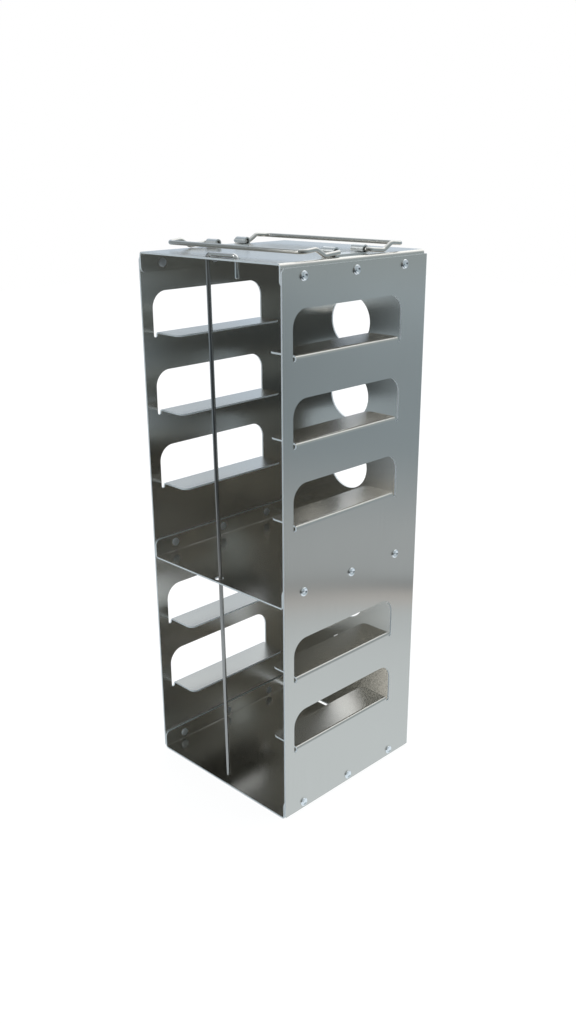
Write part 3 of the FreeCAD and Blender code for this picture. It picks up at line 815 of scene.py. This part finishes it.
def direction_share(tree, direction, towards):
    """How far a direction or a place lies towards a given direction."""
    node = add_node(tree, "ShaderNodeVectorMath", {0: direction, 1: Vector(towards).normalized()},
                    operation="DOT_PRODUCT")
    return node.outputs["Value"]


def soft_step(tree, value, start, end, low, high):
    """A smooth change from low to high while the value goes from start to end."""
    node = add_node(tree, "ShaderNodeMapRange", {0: value, 1: start, 2: end, 3: low, 4: high},
                    interpolation_type="SMOOTHSTEP")
    return node.outputs[0]


print("floor bands:", len(FLOOR_BANDS))

# %% [markdown]
# The floor answers three kinds of ray. Mirrors see the bands, dimmed on the camera's side and
# boosted on the left. The camera sees white with a trace of the shadow. Other light meets a
# plain pale floor.

# %% Floor
FRONT_WAY = (0.7, -0.7, 0.0)
FRONT_REACH = (0.15, 0.60)
FRONT_DIM = 0.16
LEFT_WAY = (-0.75, -0.65, 0.0)
LEFT_REACH = (0.30, 1.20)
LEFT_BOOST = 0.3
FLOOR_PALE = (0.8, 0.8, 0.8, 1.0)
SEEN_WHITE = 0.82
SEEN_SHADOW = 0.25
SEEN_LIFT = 0.30
floor_mesh = bpy.data.meshes.new("studio_floor")
floor_mesh.from_pydata([(-FLOOR_REACH, -FLOOR_REACH, 0), (FLOOR_REACH, -FLOOR_REACH, 0),
                        (FLOOR_REACH, FLOOR_REACH, 0), (-FLOOR_REACH, FLOOR_REACH, 0)],
                       [], [(0, 1, 2, 3)])
studio_floor = bpy.data.objects.new("studio_floor", floor_mesh)
bpy.context.scene.collection.objects.link(studio_floor)
floor_paint = bpy.data.materials.new("pale_floor")
floor_paint.use_nodes = True
tree = floor_paint.node_tree
tree.nodes.clear()
place = tree.nodes.new("ShaderNodeTexCoord").outputs["Object"]
rays = tree.nodes.new("ShaderNodeLightPath").outputs
distance = add_node(tree, "ShaderNodeVectorMath", {0: place}, operation="LENGTH").outputs["Value"]
paint = add_node(tree, "ShaderNodeValToRGB", {0: math_node(tree, "DIVIDE", distance, FLOOR_REACH)})
stops = paint.color_ramp.elements
for number, (spot, brightness, tint) in enumerate(FLOOR_BANDS):
    stop = stops[number] if number < 2 else stops.new(1.0)
    stop.position = spot / FLOOR_REACH
    stop.color = (*(brightness * share for share in tint), 1.0)
dim = soft_step(tree, direction_share(tree, place, FRONT_WAY), *FRONT_REACH, 1.0, FRONT_DIM)
boost = soft_step(tree, direction_share(tree, place, LEFT_WAY), *LEFT_REACH, 0.0, LEFT_BOOST)
mirror_light = add_node(tree, "ShaderNodeEmission", {
    "Color": paint.outputs[0], "Strength": math_node(tree, "ADD", dim, boost)})
lit = add_node(tree, "ShaderNodeBsdfDiffuse", {"Color": FLOOR_PALE})
white = add_node(tree, "ShaderNodeEmission", {"Strength": SEEN_WHITE})
lift = add_node(tree, "ShaderNodeEmission", {"Strength": SEEN_LIFT})
seen = add_node(tree, "ShaderNodeMixShader", {0: SEEN_SHADOW, 1: white.outputs[0],
                                              2: lit.outputs[0]})
seen = add_node(tree, "ShaderNodeAddShader", {0: seen.outputs[0], 1: lift.outputs[0]})
chosen = add_node(tree, "ShaderNodeMixShader", {0: rays["Is Camera Ray"],
                                                1: lit.outputs[0], 2: seen.outputs[0]})
chosen = add_node(tree, "ShaderNodeMixShader", {0: rays["Is Glossy Ray"],
                                                1: chosen.outputs[0], 2: mirror_light.outputs[0]})
surface = tree.nodes.new("ShaderNodeOutputMaterial")
tree.links.new(chosen.outputs[0], surface.inputs[0])
floor_mesh.materials.append(floor_paint)
print("floor reaches", FLOOR_REACH, "m")

# %% Surroundings
DARK_SIDE = (0.12, 0.117, 0.104, 1.0)
PURE_WHITE = (1.0, 1.0, 1.0, 1.0)
# Each patch of the surroundings: the way it lies, where its edge starts and ends as a cosine
# from its middle, and its colour.
SKY_PATCHES = [
    ((0.0, 0.0, 1.0), 0.20, 0.70, (0.43, 0.47, 0.49)),
    ((0.8, 0.6, 0.0), 0.10, 0.95, (0.43, 0.50, 0.53)),
    ((-0.75, -0.65, -0.05), 0.30, 0.95, (0.30, 0.34, 0.36)),
    ((-0.7, 0.7, 0.15), 0.20, 0.95, (0.60, 0.70, 0.81)),
    ((-0.1, 0.6, 0.8), 0.62, 0.92, (0.95, 0.99, 1.02)),
]
world = bpy.data.worlds.new("studio")
world.use_nodes = True
bpy.context.scene.world = world
tree = world.node_tree
tree.nodes.clear()
direction = tree.nodes.new("ShaderNodeTexCoord").outputs["Generated"]
glow = add_node(tree, "ShaderNodeRGB").outputs[0]
glow.default_value = DARK_SIDE
for towards, edge, full, colour in SKY_PATCHES:
    share = soft_step(tree, direction_share(tree, direction, towards), edge, full, 0.0, 1.0)
    glow = blend_colour(tree, share, glow, (*colour, 1.0))
rays = tree.nodes.new("ShaderNodeLightPath").outputs
seen = blend_colour(tree, rays["Is Camera Ray"], glow, PURE_WHITE)
sky = add_node(tree, "ShaderNodeBackground", {"Color": seen, "Strength": 1.0})
surface = tree.nodes.new("ShaderNodeOutputWorld")
tree.links.new(sky.outputs[0], surface.inputs[0])
print("surroundings:", len(tree.nodes), "nodes")


# %% Lamps
def soft_lamp(name, place, aim, width, height, power):
    """A large soft panel that points at a spot, with its size in metres and power in watts."""
    light = bpy.data.lights.new(name, "AREA")
    light.shape = "RECTANGLE"
    light.size = width
    light.size_y = height
    light.energy = power
    lamp = bpy.data.objects.new(name, light)
    lamp.location = place
    way = Vector(aim) - Vector(place)
    lamp.rotation_euler = way.to_track_quat("-Z", "Y").to_euler()
    bpy.context.scene.collection.objects.link(lamp)


soft_lamp("overhead_panel", place=(-0.4, 1.3, 1.8), aim=(0.0, 0.0, 0.3), width=2.2, height=1.8,
          power=8.0)
soft_lamp("left_panel", place=(-0.9, -1.3, 1.2), aim=(0.0, 0.0, 0.2), width=0.5, height=0.9,
          power=3.5)
print("lamps:", [light.name for light in bpy.data.lights])
